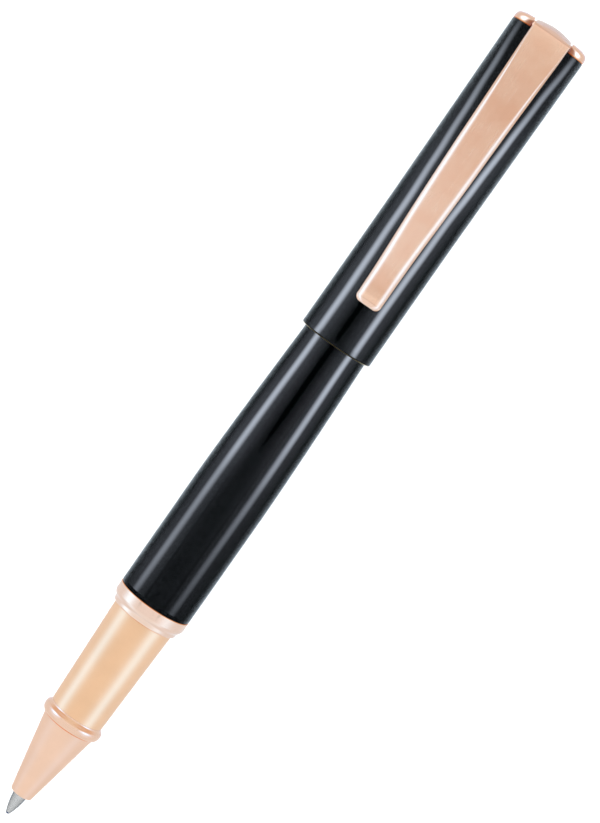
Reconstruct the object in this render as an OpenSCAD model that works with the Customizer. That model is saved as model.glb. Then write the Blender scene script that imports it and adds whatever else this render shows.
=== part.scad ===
// Posted rollerball pen: cap pushed on the tail, writing tip bare.
// The pen lies along X, writing tip towards -X, cap crown towards +X,
// clip facing +Z. The origin is under the middle of the pen, at the
// height of its lowest point. All lengths are millimetres.
// Positions along the pen are counted from the end of the writing ball.

/* [Overall] */
// Posted length, from the writing ball to the top of the crown
pen_len = 150; // [149.8:0.05:150.2]
// Radius of the crown, the widest ring on the pen
crown_r = 6.45; // [6.44:0.01:6.6]

/* [Refill] */
// Radius of the writing ball
ball_r = 0.35; // [0.3:0.01:0.36]
// Radius of the steel tip where it enters the nose
tip_r = 1.15; // [1.1:0.01:1.2]
// Radius of the refill tube
refill_r = 3.05; // [2.9:0.01:3.1]
// Length of the refill, ball to plug
refill_len = 110.8; // [110:0.1:111]
// How far the sprung refill can be pushed in
refill_push = 1.2; // [0.5:0.1:1.4]

/* [Writing section] */
// Where the nose cone ends in front
nose_x = 4.0; // [3.8:0.1:4.2]
// Radius of the nose cone at its front end
nose_front_r = 1.90; // [1.8:0.05:2.0]
// Radius of the nose cone where it meets the bead ring
nose_back_r = 4.5; // [4.4:0.02:4.52]
// Where the nose cone meets the bead ring
bead_x = 17.6; // [17.4:0.1:17.7]
// Length of the bead ring
bead_len = 2.3; // [2.2:0.1:2.4]
// Largest radius of the bead ring
bead_r = 5.2; // [5.1:0.01:5.22]
// Radius of the grip in front
grip_front_r = 4.62; // [4.55:0.01:4.7]
// Radius of the grip at the trim ring
grip_back_r = 5.25; // [5.1:0.01:5.26]
// Where the grip meets the trim ring
ring_x = 38.6; // [38.4:0.05:38.8]
// Radius of the narrow band of the trim ring
ring_low_r = 5.74; // [5.5:0.01:5.76]
// Radius of the wide band of the trim ring
ring_high_r = 6.29; // [6.2:0.01:6.4]
// Length of the whole trim ring
ring_len = 3.25; // [3.1:0.05:3.4]

/* [Section thread] */
// Outer radius of the male thread
thread_r = 5.0; // [4.9:0.01:5.05]
// Radial clearance of the thread in the barrel
thread_gap = 0.05; // [0.03:0.01:0.08]
// Length of the male thread
thread_len = 4.4; // [4:0.1:5]

/* [Barrel] */
// Radius of the straight front of the barrel
barrel_r = 6.26; // [6.2:0.01:6.28]
// Where the barrel begins to taper
taper_x = 62; // [60:0.5:64]
// How strongly the barrel tapers
taper_k = 0.00571; // [0.0055:0.00001:0.006]
// How late the taper sets in
taper_pow = 1.437; // [1.43:0.001:1.44]
// Wall thickness of the barrel tube
barrel_wall = 0.55; // [0.5:0.01:0.6]
// Where the barrel tube ends, inside the posted cap
tail_x = 119.0; // [118.8:0.1:119.2]

/* [Cap] */
// Where the mouth of the posted cap stands
mouth_x = 91.3; // [91.2:0.1:91.4]
// Radius at the mouth
cap_mouth_r = 6.285; // [6.25:0.005:6.3]
// Radius at the waist
cap_waist_r = 6.224; // [6.2:0.002:6.24]
// Radius under the crown
cap_top_r = 6.43; // [6.4:0.01:6.44]
// Radius of the bore of the cap tube
cap_bore_r = 5.80; // [5.78:0.01:5.85]
// Where the crown flange begins
crown_x = 147.85; // [147.8:0.05:147.9]
// Thickness of the crown flange
crown_t = 1.55; // [1.4:0.05:1.6]

/* [Inner cap] */
// How deep in the cap the inner cap begins
liner_in = 8.0; // [7.8:0.1:8.4]
// Bore of the front of the inner cap
liner_r = 5.28; // [5.27:0.01:5.35]
// Radius of the ridge that catches the bead ring
catch_r = 5.05; // [5.0:0.01:5.1]
// Bore of the sealed chamber around the tip
chamber_r = 3.7; // [3.4:0.1:3.8]

/* [Clip] */
// Width of the clip at its root
clip_root_w = 6.62; // [6.4:0.02:6.7]
// Width of the clip at its end
clip_end_w = 4.3; // [4:0.1:4.6]
// Where the free end of the clip stands
clip_end_x = 99.35; // [99:0.05:99.6]
// Radius of the rounded corners of the free end
clip_corner_r = 0.9; // [0.6:0.1:1.2]
// Radius of the knuckle that the clip bends about
knuckle_r = 1.0; // [0.9:0.05:1.0]

/* [Hidden] */
$fn = 96;
axis_z = crown_r;                        // height of the pen's axis
nose_back_x = bead_x - 0.05;             // rear edge of the nose cone
grip_x = bead_x + bead_len + 0.05;       // front edge of the grip
ring_end = ring_x + ring_len;            // rear face of the trim ring
barrel_x = ring_end + 0.05;              // front face of the barrel tube
bore_r = barrel_r - barrel_wall;         // bore of the barrel's front
oring_x = ring_end + 1.15;               // middle of the O-ring
oring_wire = 0.47;                       // radius of the O-ring's cord
oring_mid = 4.84;                        // radius of the O-ring's middle
thread_x = ring_end + 2.3;               // start of the male thread
thread_end = thread_x + thread_len;
tube_end = refill_len - 3.0;             // rear edge of the refill tube
cup_x = refill_len - 4.8;                // front edge of the spring cup
cup_end = tail_x - 0.9;                  // rear face of the spring cup
plug_end = tail_x + 1.5;                 // rear end of the tail plug
waist_x = 113;                           // where the cap is thinnest
liner_x = mouth_x + liner_in;            // front edge of the inner cap
chamber_x = plug_end + 0.4;              // front of the sealed chamber
chamber_end = 132.5;                     // rear wall of the sealed chamber
spigot_x = 141.5;                        // front of the crown's spigot
hinge_x = 147.55;                        // where the clip bends
hinge_h = 7.55;                          // its height above the axis
dome_r = 10.2;                           // doming across the clip root
clip_h = 8.80;                           // highest line of the clip

// Radius of the barrel at a place along the pen.
function barrel_rad(x) =
    barrel_r - taper_k * pow(max(0, x - taper_x), taper_pow);
// Radius of the cap at a place along the pen.
function cap_rad(x) = x < waist_x
    ? cap_waist_r + (cap_mouth_r - cap_waist_r)
        * pow((waist_x - x) / (waist_x - mouth_x), 2)
    : cap_waist_r + (cap_top_r - cap_waist_r)
        * pow((x - waist_x) / (crown_x - waist_x), 1.2);
// Radius of the grip at a place along the pen.
function grip_rad(x) = grip_front_r
    + (grip_back_r - grip_front_r) * (x - grip_x) / (ring_x - grip_x);
// Evenly spaced places from a to b.
function steps(a, b, n) = [for (i = [0:n]) a + (b - a) * i / n];

// Places something made along +Z on the pen's axis.
module along_pen() {
    translate([-pen_len / 2, 0, axis_z]) rotate([0, 90, 0]) children();
}
// A turned piece. Points are [radius, place along the pen].
module turned(pts) {
    along_pen() rotate_extrude() polygon(pts);
}
// A plate seen from the side, across the pen. Points are [place, height].
module side_plate(pts, w) {
    translate([-pen_len / 2, w / 2, axis_z]) rotate([90, 0, 0])
        linear_extrude(w) polygon(pts);
}
// A bar across the pen.
module cross_bar(x, h, r, w) {
    translate([x - pen_len / 2, w / 2, axis_z + h]) rotate([90, 0, 0])
        cylinder(h = w, r = r);
}

// ---------------------------------------------------------------- barrel
module barrel_shell() {
    outer = steps(taper_x, tail_x, 14);
    color("#1b1d21") turned(concat(
        [[bore_r + 0.08, barrel_x], [barrel_r - 0.08, barrel_x],
         [barrel_r, barrel_x + 0.08]],
        [for (x = outer) [barrel_rad(x), x]],
        [for (i = [len(outer) - 1:-1:0])
            [barrel_rad(outer[i]) - barrel_wall, outer[i]]],
        [[bore_r, barrel_x + 0.08]]));
}
// Female thread, bonded in the front of the barrel tube.
module barrel_thread_insert() {
    r = bore_r - 0.02;
    color("#b99a5b") turned([
        [5.42, barrel_x + 0.15], [r, barrel_x + 0.15], [r, thread_end + 4],
        [thread_r - 0.35, thread_end + 4],
        [thread_r - 0.35, thread_end + 0.9],
        [thread_r + thread_gap, thread_end + 0.6],
        [thread_r + thread_gap, thread_x - 0.3],
        [5.42, thread_x - 0.55]]);
}
// Round metal end of the tail.
module tail_plug() {
    r = barrel_rad(tail_x);
    s = r - barrel_wall - 0.03;
    color("#dfae90") turned([
        [0, tail_x - 0.85], [s - 0.12, tail_x - 0.85],
        [s - 0.12, tail_x + 0.03],
        [r - 0.06, tail_x + 0.03], [r, tail_x + 0.1], [r - 0.1, plug_end - 0.5],
        [r - 0.35, plug_end - 0.17], [r - 0.9, plug_end - 0.02],
        [0, plug_end]]);
}
// Plastic cup that centres the refill and holds its spring.
module spring_cup() {
    r = barrel_rad(cup_end) - barrel_wall - 0.03;
    color("#c9cbcc") turned([
        [0, cup_end - 0.9], [refill_r + 0.1, cup_end - 0.9],
        [refill_r + 0.1, cup_x + 0.3], [refill_r + 0.35, cup_x],
        [r, cup_x], [r, cup_end], [0, cup_end]]);
}
// Compression spring behind the refill.
module refill_spring() {
    wire = 0.22;
    mid = 2.35;
    x0 = refill_len + wire + 0.03;
    x1 = cup_end - 0.93 - wire;
    turns = 6;
    per = 16;
    sides = 6;
    n = turns * per;
    // Two close turns at each end, the rest spread between them.
    function rise(t) = t < 1 ? t * 2.1 * wire
        : t > turns - 1 ? (x1 - x0) - (turns - t) * 2.1 * wire
        : 2.1 * wire + (t - 1) * ((x1 - x0) - 4.2 * wire) / (turns - 2);
    color("#9fa4a8") along_pen() polyhedron(
        points = [for (i = [0:n]) let(a = 360 * i / per, z = x0 + rise(i / per))
            for (j = [0:sides - 1]) let(b = 360 * j / sides)
                [(mid + wire * cos(b)) * cos(a), (mid + wire * cos(b)) * sin(a),
                 z + wire * sin(b)]],
        faces = concat(
            [[for (j = [0:sides - 1]) j]],
            [for (i = [0:n - 1], j = [0:sides - 1]) let(k = (j + 1) % sides)
                [i * sides + j, (i + 1) * sides + j, (i + 1) * sides + k]],
            [for (i = [0:n - 1], j = [0:sides - 1]) let(k = (j + 1) % sides)
                [i * sides + j, (i + 1) * sides + k, i * sides + k]],
            [[for (j = [sides - 1:-1:0]) n * sides + j]]));
}

// --------------------------------------------------------------- section
// Rubber ring between the section and the barrel's mouth.
module section_o_ring() {
    color("#1a1a1a") along_pen() translate([0, 0, oring_x])
        rotate_extrude() translate([oring_mid, 0]) circle(r = oring_wire);
}
module nose_cone() {
    slope = (nose_back_r - nose_front_r) / (nose_back_x - nose_x);
    color("#efc7ad") turned([
        [tip_r + 0.1, nose_x], [nose_front_r - 0.16, nose_x],
        [nose_front_r - 0.05, nose_x + 0.05],
        [nose_front_r + slope * 0.18, nose_x + 0.18],
        [nose_back_r, nose_back_x],
        [nose_back_r - 0.12, nose_back_x + 0.02],
        [3.95, nose_back_x + 0.02], [3.95, nose_back_x + 6], [3.8, nose_back_x + 6.15],
        [refill_r + 0.2, nose_back_x + 6.15], [refill_r + 0.2, nose_x + 10.4],
        [2.15, nose_x + 9.9], [2.15, nose_x + 4.6],
        [tip_r + 0.1, nose_x + 4.6]]);
}
// Polished bead that the inner cap snaps over.
module bead_ring() {
    mid = bead_x + bead_len / 2;
    base = 4.42;
    color("#f2cfb6") turned(concat(
        [[4.0, bead_x + bead_len], [4.0, bead_x]],
        [for (a = [0:12:180])
            [base + (bead_r - base) * sin(a), mid - bead_len / 2 * cos(a)]]));
}
module grip_sleeve() {
    e = ring_x - 0.03;
    color("#eabf9f") turned([
        [4.08, grip_x], [grip_front_r - 0.1, grip_x],
        [grip_rad(grip_x + 0.12), grip_x + 0.12],
        [grip_rad(e), e], [4.08, e]]);
}
// Polished trim ring with a narrow band and a wide, faintly domed one.
module trim_ring() {
    mid = ring_x + 0.95;
    color("#f1d3bd") turned([
        [4.68, ring_x], [grip_back_r + 0.1, ring_x],
        [ring_low_r - 0.16, ring_x + 0.12], [ring_low_r - 0.03, ring_x + 0.3],
        [ring_low_r, ring_x + 0.5], [ring_low_r, mid - 0.1],
        [ring_low_r - 0.08, mid], [ring_low_r - 0.08, mid + 0.1],
        [ring_high_r - 0.17, mid + 0.1], [ring_high_r - 0.07, mid + 0.2],
        [ring_high_r - 0.02, mid + 0.5], [ring_high_r, mid + 1.1],
        [ring_high_r - 0.02, mid + 1.75], [ring_high_r - 0.06, ring_end - 0.15],
        [ring_high_r - 0.14, ring_end], [4.68, ring_end]]);
}
// Threaded tube that ties the section together and screws into the barrel.
module section_coupler() {
    f = nose_back_x + 6.3;
    color("#c8a560") turned([
        [refill_r + 0.2, f], [3.9, f], [4.03, f + 0.15],
        [4.03, ring_x + 0.03], [4.64, ring_x + 0.15], [4.64, ring_end - 0.03],
        [4.3, ring_end + 0.02], [4.3, thread_x - 0.35],
        [thread_r - 0.4, thread_x - 0.3], [thread_r, thread_x + 0.1],
        [thread_r, thread_end - 0.4], [thread_r - 0.4, thread_end],
        [thread_r - 0.5, thread_end + 2.5],
        [refill_r + 0.2, thread_end + 2.5]]);
}

// ---------------------------------------------------------------- refill
// Steel cone with the seat of the ball.
module refill_tip() {
    seat = ball_r + 0.015;
    color("#b9bec2") difference() {
        turned([
            [0, 0.16], [0.29, 0.16], [0.42, 0.36], [0.60, 0.90],
            [0.86, 2.0], [1.05, 2.95], [tip_r, 3.7], [tip_r, 10.6],
            [0, 10.6]]);
        translate([ball_r - pen_len / 2, 0, axis_z]) sphere(r = seat);
        along_pen() translate([0, 0, 0.45]) cylinder(h = 12, r = 0.28);
    }
}
// Plastic nose of the refill, which holds the steel tip.
module refill_holder() {
    color("#22242a") turned([
        [tip_r + 0.02, 8.75], [1.8, 8.75], [1.95, 8.95], [1.95, 15.0],
        [refill_r, 15.3], [refill_r, 16.3],
        [refill_r - 0.32, 16.3], [refill_r - 0.32, 20.5],
        [0.6, 20.5], [0.6, 10.8], [tip_r + 0.02, 10.8]]);
}
module refill_tube() {
    color("#aeb2b5") turned([
        [refill_r - 0.3, 16.33], [refill_r, 16.33], [refill_r, tube_end],
        [refill_r - 0.3, tube_end]]);
}
// Fibre rod that holds the ink.
module ink_reservoir() {
    color("#2c3140") turned([
        [0.30, 22], [refill_r - 0.55, 22], [refill_r - 0.55, tube_end - 4],
        [0, tube_end - 4], [0, 27], [0.30, 27]]);
}
// Fine rod that carries ink from the reservoir to the ball.
module feed_rod() {
    color("#f2f2ee") turned([
        [0, 0.80], [0.14, 0.80], [0.24, 1.1], [0.24, 26.8], [0, 26.8]]);
}
module refill_plug() {
    color("#22242a") turned([
        [0, tube_end - 3], [refill_r - 0.32, tube_end - 3],
        [refill_r - 0.32, tube_end + 0.03], [refill_r, tube_end + 0.03],
        [refill_r, tube_end + 1.6], [2.7, refill_len - 1.2],
        [2.7, refill_len], [0, refill_len]]);
}
module writing_ball() {
    color("#8e9499") translate([ball_r - pen_len / 2, 0, axis_z])
        sphere(r = ball_r);
}

// ------------------------------------------------------------------- cap
module cap_shell() {
    xs = concat(steps(mouth_x + 0.14, waist_x, 5),
        [for (x = steps(waist_x, crown_x, 8)) if (x > waist_x) x]);
    color("#1b1d21") turned(concat(
        [[cap_bore_r, crown_x], [cap_bore_r, mouth_x + 0.15],
         [cap_bore_r + 0.12, mouth_x], [cap_mouth_r - 0.14, mouth_x]],
        [for (x = xs) [cap_rad(x), x]]));
}
// Moulded inner cap: guide, catch ridge, sealed chamber and spacer skirt.
module cap_liner() {
    o = cap_bore_r - 0.02;
    r2 = 4.70;
    color("#2a2b2e") turned([
        [liner_r + 0.2, liner_x], [o, liner_x], [o, spigot_x - 0.03],
        [4.9, spigot_x - 0.03], [4.9, chamber_end + 2.7],
        [1.35, chamber_end + 2.7], [1.35, chamber_end],
        [chamber_r, chamber_end], [chamber_r, chamber_x + 0.3],
        [chamber_r + 0.3, chamber_x], [r2, chamber_x],
        [r2, mouth_x + 23.4], [catch_r, mouth_x + 22.6],
        [catch_r, mouth_x + 21.9], [liner_r, mouth_x + 21.2],
        [liner_r, liner_x + 0.4]]);
}
// Crown: spigot in the tube, and a flange split by the slot of the clip.
module cap_crown() {
    t = crown_x + crown_t;
    color("#e6b596") difference() {
        turned([
            [1.2, spigot_x], [cap_bore_r - 0.02, spigot_x],
            [cap_bore_r - 0.02, crown_x + 0.03], [crown_r - 0.12, crown_x + 0.03],
            [crown_r, crown_x + 0.15], [crown_r, t - 0.55],
            [crown_r - 0.07, t - 0.27], [crown_r - 0.27, t - 0.07],
            [crown_r - 0.55, t], [0, t], [0, crown_x - 0.9],
            [1.2, crown_x - 0.9]]);
        clip_slot(3.45, crown_x + 0.05, 8);
    }
}
// Outline of the slot and of the piece in it, from the rim to behind the
// middle of the crown, with a round far end.
module clip_slot(half, from, deep) {
    translate([from - pen_len / 2, -half, axis_z - 1.9])
        cube([deep, 2 * half, 14]);
    translate([from - pen_len / 2, 0, axis_z - 1.9]) rotate([0, 90, 0])
        cylinder(h = deep, r = half);
}
// Screw that clamps the inner cap and the crown together, from inside.
module crown_screw() {
    h = chamber_end - 0.45;
    color("#a8acaf") difference() {
        turned([
            [0, h - 1.1], [1.7, h - 1.1], [2.05, h - 0.8], [2.1, h],
            [1.15, h], [1.15, crown_x - 1.5], [0.9, crown_x - 1.1],
            [0, crown_x - 1.1]]);
        translate([h - 1.4 - pen_len / 2, -2.5, axis_z - 0.25])
            cube([0.8, 5, 0.5]);
    }
}
module screw_washer() {
    color("#a8acaf") turned([
        [1.35, chamber_end - 0.42], [2.5, chamber_end - 0.42],
        [2.5, chamber_end - 0.03], [1.35, chamber_end - 0.03]]);
}
// Domed root of the clip, seated in the crown's slot.
module clip_root() {
    f = crown_x + 0.1;
    e = pen_len;
    color("#d9a98b") difference() {
        intersection() {
            side_plate([
                [f, -5.3], [e - 0.9, -5.3], [e - 0.45, -4.2], [e - 0.15, -2.4],
                [e, 0], [e - 0.05, 2.0], [e - 0.2, 3.8], [e - 0.45, 5.4],
                [e - 0.8, 6.8], [e - 1.15, 7.7], [e - 1.65, 8.33],
                [e - 1.95, 8.2], [f, 7.0]], 8);
            clip_slot(clip_root_w / 2, f, 8);
            translate([e - dome_r - pen_len / 2, 0, axis_z - 8])
                cylinder(h = 20, r = dome_r);
        }
        cross_bar(hinge_x, hinge_h, knuckle_r + 0.06, 10);
    }
}

// ------------------------------------------------------------------ clip
// Half width of the clip at a distance from its root.
function clip_half(d) = d < 26
    ? clip_root_w / 2 - 0.0188 * d
    : clip_root_w / 2 - 0.489 - (clip_root_w / 2 - 0.489 - clip_end_w / 2)
        * sin(90 * min(1, (d - 26) / 20));
module clip() {
    e = clip_end_x;
    c = clip_corner_r;
    w = clip_end_w / 2;
    ds = [0, 13, 26, 30, 34, 38, 42, hinge_x - e - 2];
    color("#e0b191") {
        cross_bar(hinge_x, hinge_h, knuckle_r, clip_root_w - 0.06);
        intersection() {
            side_plate([
                [hinge_x, 8.46], [hinge_x - 1.6, 8.58], [140, clip_h],
                [134, clip_h], [127, 8.75], [120, 8.55], [114, 8.25],
                [109.5, 7.95], [106, 7.75], [103.2, 7.72], [101, 7.88],
                [e + 0.7, 8.15], [e - 1, 8.35],
                [e - 1, 7.45], [e + 0.7, 7.25], [101.6, 6.86],
                [103.6, 6.52], [105.0, 6.36], [106.4, 6.40], [108.2, 6.70],
                [110.5, 7.02], [114, 7.28], [120, 7.58], [127, 7.77],
                [134, 7.82], [140, 7.80], [hinge_x - 1.6, 7.55],
                [hinge_x, 7.3]], 8);
            // Plan outline, tapering to the round-cornered free end.
            translate([-pen_len / 2, 0, axis_z]) linear_extrude(12) union() {
                polygon(concat(
                    [for (d = ds) [hinge_x - d, clip_half(d)]],
                    [[e + c, w], [e + c, -w]],
                    [for (i = [len(ds) - 1:-1:0])
                        [hinge_x - ds[i], -clip_half(ds[i])]]));
                translate([e, c - w]) square([c + 0.5, 2 * (w - c)]);
                for (s = [-1, 1]) translate([e + c, s * (w - c)]) circle(r = c);
            }
        }
    }
}

barrel_shell();
barrel_thread_insert();
tail_plug();
spring_cup();
refill_spring();
section_o_ring();
nose_cone();
bead_ring();
grip_sleeve();
trim_ring();
section_coupler();
refill_tip();
refill_holder();
refill_tube();
ink_reservoir();
feed_rod();
refill_plug();
writing_ball();
cap_shell();
cap_liner();
cap_crown();
crown_screw();
screw_washer();
clip_root();
clip();
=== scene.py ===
import math

import bmesh
import bpy
from mathutils import Matrix, Vector


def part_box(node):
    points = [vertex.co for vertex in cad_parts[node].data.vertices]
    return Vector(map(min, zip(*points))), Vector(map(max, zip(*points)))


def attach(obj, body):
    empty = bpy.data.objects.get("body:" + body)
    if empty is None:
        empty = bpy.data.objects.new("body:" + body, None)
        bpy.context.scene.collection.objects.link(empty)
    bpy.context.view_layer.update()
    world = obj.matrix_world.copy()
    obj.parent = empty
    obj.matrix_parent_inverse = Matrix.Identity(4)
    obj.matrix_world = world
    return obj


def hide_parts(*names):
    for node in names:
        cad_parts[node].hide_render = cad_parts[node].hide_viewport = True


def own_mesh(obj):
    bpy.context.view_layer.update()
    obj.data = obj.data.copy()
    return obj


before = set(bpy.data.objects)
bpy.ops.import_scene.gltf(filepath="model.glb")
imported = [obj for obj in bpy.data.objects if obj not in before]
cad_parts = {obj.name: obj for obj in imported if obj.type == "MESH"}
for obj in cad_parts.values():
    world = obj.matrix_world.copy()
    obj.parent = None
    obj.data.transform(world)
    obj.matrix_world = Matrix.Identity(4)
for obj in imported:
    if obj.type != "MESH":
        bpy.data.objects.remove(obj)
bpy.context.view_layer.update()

MM = 0.001
scene = bpy.context.scene

# ------------------------------------------------------------------ places
# Everything is counted in millimetres from the end of the writing ball, as
# the design is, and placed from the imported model's own boxes.
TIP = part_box("writing_ball")[0].x / MM
AXIS = (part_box("trim_ring")[0].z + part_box("trim_ring")[1].z) / 2 / MM


def lo_x(node):
    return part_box(node)[0].x / MM - TIP


def hi_x(node):
    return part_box(node)[1].x / MM - TIP


def rad(node):
    lo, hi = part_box(node)
    return (hi.y - lo.y) / 2 / MM


def place(x, y, h):
    """A point x along the pen, y across it and h above its axis, in metres."""
    return Vector(((x + TIP) * MM, y * MM, (h + AXIS) * MM))


# ------------------------------------------------------------------ meshes
def finish_mesh(bm, name, sharp_deg=38.0):
    bmesh.ops.remove_doubles(bm, verts=bm.verts, dist=1e-8)
    bmesh.ops.recalc_face_normals(bm, faces=bm.faces)
    for f in bm.faces:
        f.smooth = True
    limit = math.radians(sharp_deg)
    for e in bm.edges:
        if len(e.link_faces) == 2 and e.calc_face_angle(0.0) > limit:
            e.smooth = False
    mesh = bpy.data.meshes.new(name)
    bm.to_mesh(mesh)
    bm.free()
    obj = bpy.data.objects.new(name, mesh)
    scene.collection.objects.link(obj)
    return obj


def fillet(points, steps=6):
    """Rounds the corners of a closed outline. Points are (x, r, fillet radius)."""
    out, n = [], len(points)
    for i in range(n):
        p = Vector(points[i][:2])
        rr = points[i][2] if len(points[i]) > 2 else 0.0
        a, b = Vector(points[i - 1][:2]), Vector(points[(i + 1) % n][:2])
        u, v = a - p, b - p
        if rr <= 0 or u.length < 1e-6 or v.length < 1e-6:
            out.append((p.x, p.y))
            continue
        ang = u.angle(v)
        if ang > math.radians(178):
            out.append((p.x, p.y))
            continue
        t = min(rr / math.tan(ang / 2), 0.48 * u.length, 0.48 * v.length)
        r = t * math.tan(ang / 2)
        c = p + (u.normalized() + v.normalized()).normalized() * (r / math.sin(ang / 2))
        s, e = p + u.normalized() * t, p + v.normalized() * t
        a0, a1 = math.atan2(s.y - c.y, s.x - c.x), math.atan2(e.y - c.y, e.x - c.x)
        d = (a1 - a0 + math.pi) % (2 * math.pi) - math.pi
        for k in range(steps + 1):
            q = a0 + d * k / steps
            out.append((c.x + r * math.cos(q), c.y + r * math.sin(q)))
    return out


def lathe(name, outline, seg=176, sharp=38.0):
    """A closed solid of revolution round the pen's axis. Points are (x, r)."""
    bm = bmesh.new()
    rings = []
    for x, r in outline:
        if r < 1e-6:
            rings.append([bm.verts.new(place(x, 0, 0))])
        else:
            rings.append([
                bm.verts.new(place(x, r * math.cos(2 * math.pi * k / seg), r * math.sin(2 * math.pi * k / seg)))
                for k in range(seg)
            ])
    n = len(rings)
    for i in range(n):
        a, b = rings[i], rings[(i + 1) % n]
        if len(a) == 1 and len(b) == 1:
            continue
        for k in range(seg):
            m = (k + 1) % seg
            if len(a) == 1:
                bm.faces.new((a[0], b[m], b[k]))
            elif len(b) == 1:
                bm.faces.new((a[k], a[m], b[0]))
            else:
                bm.faces.new((a[k], a[m], b[m], b[k]))
    return finish_mesh(bm, name, sharp)


def arc(cx, cr, rx, rr, a0, a1, n):
    """Points of an ellipse, by angle in degrees, 0 towards the cap and 90 outward."""
    return [
        (cx + rx * math.cos(math.radians(a0 + (a1 - a0) * i / n)), cr + rr * math.sin(math.radians(a0 + (a1 - a0) * i / n)))
        for i in range(n + 1)
    ]


def spline(keys, x):
    """Smooth monotone interpolation through (x, value) keys."""
    n = len(keys)
    if x <= keys[0][0]:
        return keys[0][1]
    if x >= keys[-1][0]:
        return keys[-1][1]
    d = [(keys[i + 1][1] - keys[i][1]) / (keys[i + 1][0] - keys[i][0]) for i in range(n - 1)]
    m = [d[0]] + [0.0 if d[i - 1] * d[i] <= 0 else 2 * d[i - 1] * d[i] / (d[i - 1] + d[i]) for i in range(1, n - 1)] + [d[-1]]
    for i in range(n - 1):
        if x <= keys[i + 1][0]:
            h = keys[i + 1][0] - keys[i][0]
            t = (x - keys[i][0]) / h
            return (
                keys[i][1] * (1 + 2 * t) * (1 - t) ** 2
                + m[i] * h * t * (1 - t) ** 2
                + keys[i + 1][1] * t * t * (3 - 2 * t)
                + m[i + 1] * h * t * t * (t - 1)
            )


def frange(a, b, n):
    return [a + (b - a) * i / n for i in range(n + 1)]


# --------------------------------------------------------------- materials
class Nodes:
    """A short way to write a shader tree."""

    def __init__(self, name):
        self.mat = bpy.data.materials.new(name)
        self.mat.use_nodes = True
        self.t = self.mat.node_tree
        self.t.nodes.clear()
        self.out = self.add("ShaderNodeOutputMaterial")
        self.bsdf = self.add("ShaderNodeBsdfPrincipled")
        self.link(self.bsdf.outputs[0], self.out.inputs["Surface"])

    def add(self, kind, **values):
        n = self.t.nodes.new(kind)
        for k, v in values.items():
            setattr(n, k, v)
        return n

    def link(self, a, b):
        self.t.links.new(a, b)

    def set(self, **values):
        for k, v in values.items():
            self.bsdf.inputs[k.replace("_", " ")].default_value = v

    def math(self, op, a, b=None, c=None, clamp=False):
        n = self.add("ShaderNodeMath", operation=op, use_clamp=clamp)
        for i, v in enumerate((a, b, c)):
            if v is None:
                continue
            if isinstance(v, (int, float)):
                n.inputs[i].default_value = v
            else:
                self.link(v, n.inputs[i])
        return n.outputs[0]

    def coords(self):
        return self.add("ShaderNodeTexCoord").outputs["Object"]

    def split(self, v):
        n = self.add("ShaderNodeSeparateXYZ")
        self.link(v, n.inputs[0])
        return n.outputs

    def join(self, x, y, z):
        n = self.add("ShaderNodeCombineXYZ")
        for i, v in enumerate((x, y, z)):
            if isinstance(v, (int, float)):
                n.inputs[i].default_value = v
            else:
                self.link(v, n.inputs[i])
        return n.outputs[0]

    def round_pen(self):
        """Coordinates that run along the pen, and round it: (x, angle, radius), x and radius in metres."""
        s = self.split(self.coords())
        z = self.math("SUBTRACT", s[2], AXIS * MM)
        ang = self.math("ARCTAN2", s[1], z)
        r = self.math("SQRT", self.math("ADD", self.math("MULTIPLY", s[1], s[1]), self.math("MULTIPLY", z, z)))
        return s[0], ang, r

    def noise(self, vec, scale, detail=3.0, rough=0.55, distortion=0.0):
        n = self.add("ShaderNodeTexNoise")
        n.inputs["Scale"].default_value = scale
        n.inputs["Detail"].default_value = detail
        n.inputs["Roughness"].default_value = rough
        n.inputs["Distortion"].default_value = distortion
        self.link(vec, n.inputs["Vector"])
        return n.outputs["Fac"]

    def remap(self, v, a, b, c, d):
        n = self.add("ShaderNodeMapRange", clamp=True)
        self.link(v, n.inputs["Value"])
        for k, x in zip(("From Min", "From Max", "To Min", "To Max"), (a, b, c, d)):
            n.inputs[k].default_value = x
        return n.outputs[0]

    def mix(self, fac, a, b):
        n = self.add("ShaderNodeMix", data_type="RGBA")
        if isinstance(fac, (int, float)):
            n.inputs[0].default_value = fac
        else:
            self.link(fac, n.inputs[0])
        for sock, v in ((n.inputs[6], a), (n.inputs[7], b)):
            if isinstance(v, (tuple, list)):
                sock.default_value = (*v[:3], 1.0)
            else:
                self.link(v, sock)
        return n.outputs[2]

    def bump(self, height, strength, distance):
        n = self.add("ShaderNodeBump")
        n.inputs["Strength"].default_value = strength
        n.inputs["Distance"].default_value = distance
        self.link(height, n.inputs["Height"])
        self.link(n.outputs[0], self.bsdf.inputs["Normal"])
        return n.outputs[0]


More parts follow.
